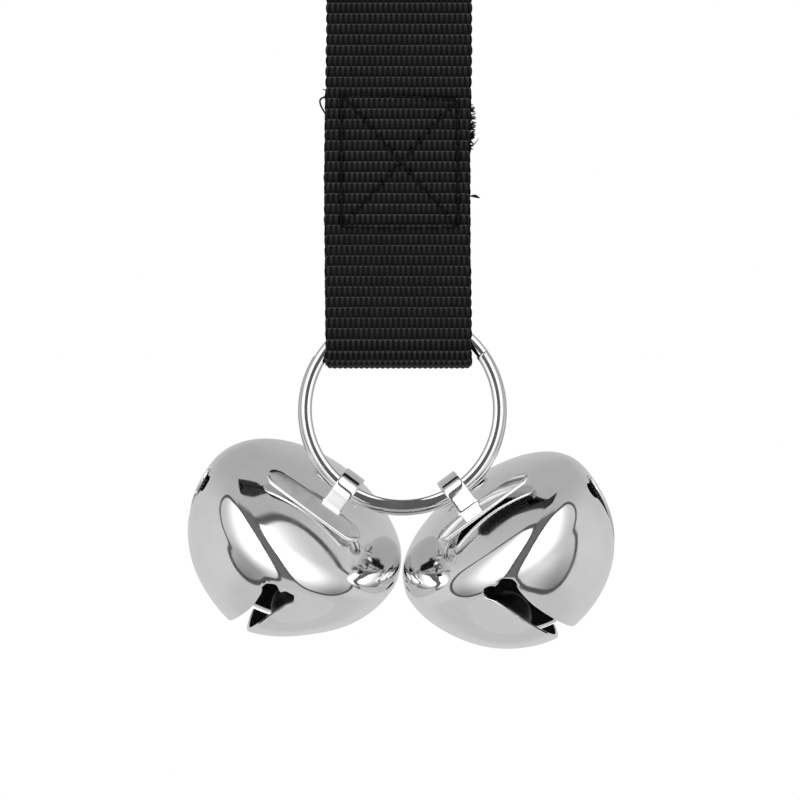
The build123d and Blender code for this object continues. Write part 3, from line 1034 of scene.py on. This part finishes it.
def dents(bell, points, angles, facing):
    """How far the skin stands out (+) or in (-): each petal is a little flat, and no two alike."""
    turn = math.radians(bell["slot_turns"][1])
    height = points[:, 2] / MM
    out = np.zeros(len(points))
    for petal, depth in enumerate(bell["flats"]):
        middle = turn + math.radians(45 + 90 * petal)
        away = np.angle(np.exp(1j * (angles - middle)))
        out -= depth * np.exp(-((away / 0.42) ** 2)) * np.exp(-(((height + 5) / 8) ** 2))
    for degrees, amount, reach in bell["knocks"]:
        way = np.array((math.cos(math.radians(degrees)), 0, math.sin(math.radians(degrees))))
        apart = np.degrees(np.arccos(np.clip(facing @ way, -1, 1)))
        out += amount * np.exp(-((apart / reach) ** 2))
    return out * MM


def bell_shank(side, body):
    """Sheet bent into an arch over the ring, with a long front foot and a short rear one."""
    wire, centre, x_axis, y_axis, z_axis = bell_axes(side)
    arch_shift = (centre - wire).dot(x_axis)
    parts = [arch_band()]
    tilt_angle = math.asin(FOOT_OFFSET / CROWN_RADIUS)
    sag = CROWN_RADIUS - math.sqrt(CROWN_RADIUS**2 - FOOT_OFFSET**2)
    front_tilt = math.radians(BELLS[side]["foot_tilt"])
    for way, half_length, extra_tilt, lift in (
        (-1, FOOT_HALF_LENGTH, front_tilt, FRONT_FOOT_LIFT),
        (1, REAR_FOOT_HALF_LENGTH, 0, 0),
    ):
        verts, faces = foot_plate(half_length)
        tilt = way * (tilt_angle + extra_tilt)
        verts[:, 2] += lift
        verts[:, 0] += arch_shift
        y, z = verts[:, 1].copy(), verts[:, 2].copy()
        verts[:, 1] = way * FOOT_OFFSET + y * math.cos(tilt) + z * math.sin(tilt)
        verts[:, 2] = -(WIRE_TO_CROWN + sag) - y * math.sin(tilt) + z * math.cos(tilt)
        parts.append((verts, faces))
    verts, faces = gathered(parts)
    world = wire + verts @ np.array((x_axis, y_axis, z_axis))
    node = side + "_bell_shank"
    new_piece(side + "_bell_clip", world, faces, SHANK_METAL, body, 40, (node,))


def foot_plate(half_length):
    """One foot lying in X and Y, its edges rounded, its long ends bent down very slightly."""
    bend = np.linspace(-np.pi / 2, np.pi / 2, 45)
    straight = half_length - FOOT_HALF_WIDTH
    side_x = np.linspace(straight, -straight, 13)[1:-1]
    x = np.concatenate([straight + FOOT_HALF_WIDTH * np.cos(bend), side_x])
    y = np.concatenate([FOOT_HALF_WIDTH * np.sin(bend), np.full(len(side_x), FOOT_HALF_WIDTH)])
    x, y = np.concatenate([x, -x]), np.concatenate([y, -y])
    y = y * (1 - 0.16 * (x / half_length) ** 2)
    rows = [(share, EDGE_ROUND, 0.0) for share in (0.03, 0.35, 0.7, 0.92)]
    for angle in np.radians((0, 30, 60, 90)):
        rows.append((1.0, EDGE_ROUND * (1 - math.sin(angle)), EDGE_ROUND * (1 - math.cos(angle))))
    rows += [(share, inset, SHANK_THICK - level) for share, inset, level in rows[::-1]]
    rings = []
    for share, inset, level in rows:
        ring_x = x * share * (1 - inset / half_length)
        ring_y = y * share * (1 - inset / FOOT_HALF_WIDTH)
        rings.append(np.stack([ring_x, ring_y, level - FOOT_BEND * (ring_x / FOOT_HALF_LENGTH) ** 2], 1))
    return lofted(rings)


def arch_band():
    """The arched band in the clip's own frame, widening where it meets the feet."""
    middle = SHANK_THICK / 2
    height = ARCH_SPRING + WIRE_TO_CROWN

    def leg_y(z):
        return ARCH_HALF + middle + BAND_SPLAY * (ARCH_SPRING - z) / height

    low = -WIRE_TO_CROWN
    toe = ((0.5, 0.02), (0.22, 0.12), (0.06, 0.34))
    half = [(leg_y(low) + out * MM, low + rise * MM) for out, rise in toe]
    half += [(leg_y(low + rise), low + rise) for rise in (0.75 * MM, 1.7 * MM, 2.9 * MM, height)]
    top = ARCH_TOP - ARCH_SPRING + middle
    for degrees in (30, 55, 75, 90):
        angle = math.radians(degrees)
        half.append(((ARCH_HALF + middle) * math.cos(angle), ARCH_SPRING + top * math.sin(angle)))
    line = half + [(-y, z) for y, z in half[::-1][1:]]
    path = curved([(0, y, z) for y, z in line], 5)
    along = tangents(path)
    at = arc_lengths(path)
    from_end = np.minimum(at, at[-1] - at)
    fillet = 1.9 * MM
    near = np.clip((fillet - from_end) / fillet, 0, 1)
    wider = fillet * (1 - np.sqrt(1 - near**2 * 0.98))
    turn = 2 * np.pi * np.arange(40) / 40
    wide = boxed(np.cos(turn), 0.28)[:, None]
    thick = middle * boxed(np.sin(turn), 0.4)[:, None]
    across = np.array((1, 0, 0))
    rings = []
    for point, direction, extra in zip(path, along, wider):
        rings.append(point + (BAND_HALF + extra) * wide * across + thick * np.cross(direction, across))
    return lofted(rings)


for side in BELLS:
    bell_shell(side, side + "_bell")
    bell_shank(side, side + "_bell")
    pellet = frame["nodes"][side + "_bell_pellet"]
    pellet.data.materials.clear()
    pellet.data.materials.append(BALL_METAL)
